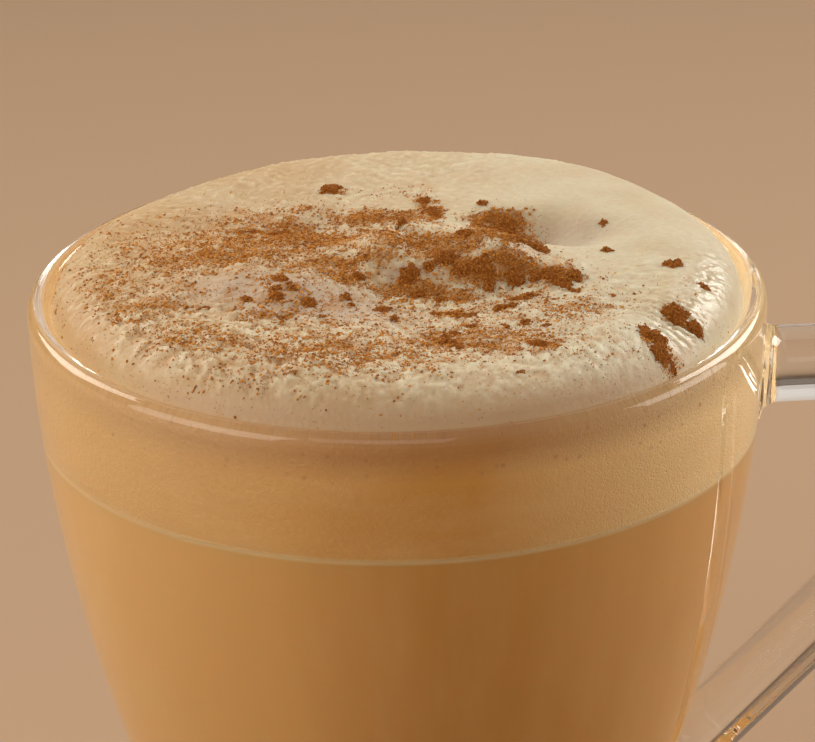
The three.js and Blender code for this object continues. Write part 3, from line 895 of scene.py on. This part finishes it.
# The four sizes of loose grain. The finest lie everywhere, and the crumbs only on the clumps.
grain_kinds = {
    "cinnamon_dust": (foam.data, {
        "Grains per square metre": 4e7, "Thinnest": 0.62, "Thickest": 1.6,
        "Smallest": 0.10 * MM, "Largest": 0.20 * MM, "Flatness": 1.0, "Tumble": 6.28,
        "Raggedness": 0.1 * MM, "Cluster size": 900.0, "Grain sides": 4, "Grain rings": 2, "Seed": 1,
    }),
    "cinnamon_grains": (foam.data, {
        "Grains per square metre": 3.4e7, "Thinnest": 0.78, "Thickest": 1.7,
        "Smallest": 0.15 * MM, "Largest": 0.32 * MM, "Flatness": 0.8, "Tumble": 6.28,
        "Raggedness": 0.15 * MM, "Cluster size": 600.0, "Grain sides": 4, "Grain rings": 3, "Seed": 2,
    }),
    "cinnamon_flecks": (foam.data, {
        "Grains per square metre": 1.7e7, "Thinnest": 0.74, "Thickest": 1.5,
        "Smallest": 0.2 * MM, "Largest": 0.52 * MM, "Flatness": 0.65, "Tumble": 0.7,
        "Raggedness": 0.3 * MM, "Cluster size": 420.0, "Grain sides": 5, "Grain rings": 3, "Seed": 4,
    }),
    "cinnamon_crumbs": (clumps.data, {
        "Grains per square metre": 1.3e7, "Thinnest": 0.5, "Thickest": 1.2,
        "Smallest": 0.16 * MM, "Largest": 0.36 * MM, "Flatness": 0.9, "Tumble": 6.28,
        "Raggedness": 0.2 * MM, "Cluster size": 500.0, "Grain sides": 4, "Grain rings": 3, "Seed": 3,
    }),
}
grain_group = powder_tree()
cinnamon_pieces = [clumps]
for name, (source, values) in grain_kinds.items():
    cinnamon_pieces.append(spread_grains(name, source, grain_group, values | {"Finish": cinnamon_look}))
for piece in cinnamon_pieces:
    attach(piece, "root")

# A plain pale floor and soft lamps, mostly from behind on both sides
floor_reach = 3.0
floor_corners = [(-1, -1), (1, -1), (1, 1), (-1, 1)]
floor_points = [(x * floor_reach, y * floor_reach, 0) for x, y in floor_corners]
floor = mesh_object("floor", floor_points, [(0, 1, 2, 3)])
floor_look, tree, output, place = material("pale_floor")
shader = node(tree, "ShaderNodeBsdfPrincipled", {"Base Color": (0.46, 0.31, 0.195, 1), "Roughness": 0.8})
tree.links.new(shader.outputs["BSDF"], output.inputs["Surface"])
floor.data.materials.append(floor_look)


def lamp(name, azimuth, elevation, distance, size, power, spread, colour):
    """A soft square lamp that looks at the drink, with its angles in degrees, its distance and size
    in metres and its power in watts. Azimuth 0 is to the right and 90 behind."""
    data = bpy.data.lights.new(name, "AREA")
    data.spread = math.radians(spread)
    data.size = size
    data.energy = power
    data.color = colour
    made = bpy.data.objects.new(name, data)
    turn, lift = math.radians(azimuth), math.radians(elevation)
    out = Vector((math.cos(turn) * math.cos(lift), math.sin(turn) * math.cos(lift), math.sin(lift)))
    made.matrix_world = Matrix.Translation(Vector((0, 0, rim_z)) + out * distance) @ (
        out.to_track_quat("Z", "Y").to_matrix().to_4x4()
    )
    bpy.context.scene.collection.objects.link(made)


lamp("lamp_back_left", 135, 32, 0.9, 0.5, 0.9, 80, (1.0, 0.93, 0.82))
lamp("lamp_back_right", 42, 30, 0.9, 0.45, 0.95, 80, (1.0, 0.96, 0.9))
lamp("lamp_behind", 90, 28, 1.3, 0.8, 0.32, 100, (1.0, 0.95, 0.88))
lamp("lamp_left", 205, 16, 0.8, 0.75, 1.85, 110, (1.0, 0.94, 0.86))
lamp("lamp_right", 0, 12, 0.8, 0.55, 1.05, 100, (1.0, 0.96, 0.9))
lamp("lamp_front", -100, 40, 1.2, 0.8, 0.8, 120, (1.0, 0.96, 0.92))

world = bpy.data.worlds.new("studio")
bpy.context.scene.world = world
world.use_nodes = True
world.node_tree.nodes["Background"].inputs["Color"].default_value = (0.62, 0.47, 0.36, 1)
world.node_tree.nodes["Background"].inputs["Strength"].default_value = 0.27

# The camera looks down at the rim, with the handle turned 4 degrees away from it
view_turn = foam_turn
view_lift = math.radians(22.03)
view_distance = 645 * MM
view_roll = math.radians(-1.07)
aim_across = 1.05 * MM
aim_below_rim = 10.26 * MM
picture_width = 815
focal_pixels = 5549

camera = bpy.data.cameras.new("camera")
camera.sensor_width = 36
camera.lens = focal_pixels * camera.sensor_width / picture_width
eye = bpy.data.objects.new("camera", camera)
right = Vector((math.cos(view_turn), -math.sin(view_turn), 0))
back = Vector((math.sin(view_turn), math.cos(view_turn), 0))
rim_centre = Vector((0, 0, rim_z))
lift = Vector((0, 0, view_distance * math.sin(view_lift)))
stand = rim_centre - back * view_distance * math.cos(view_lift) + lift
aim = rim_centre + right * aim_across - Vector((0, 0, aim_below_rim))
facing = (aim - stand).to_track_quat("-Z", "Y").to_matrix().to_4x4()
eye.matrix_world = Matrix.Translation(stand) @ facing @ Matrix.Rotation(view_roll, 4, "Z")
bpy.context.scene.collection.objects.link(eye)
bpy.context.scene.camera = eye
bpy.context.scene.view_settings.view_transform = "Standard"
# Light crosses many skins of glass, so fewer bounces leave dark bands in the lip
bounces = 32
cycles = bpy.context.scene.cycles
cycles.max_bounces = bounces
cycles.transmission_bounces = bounces
cycles.glossy_bounces = bounces
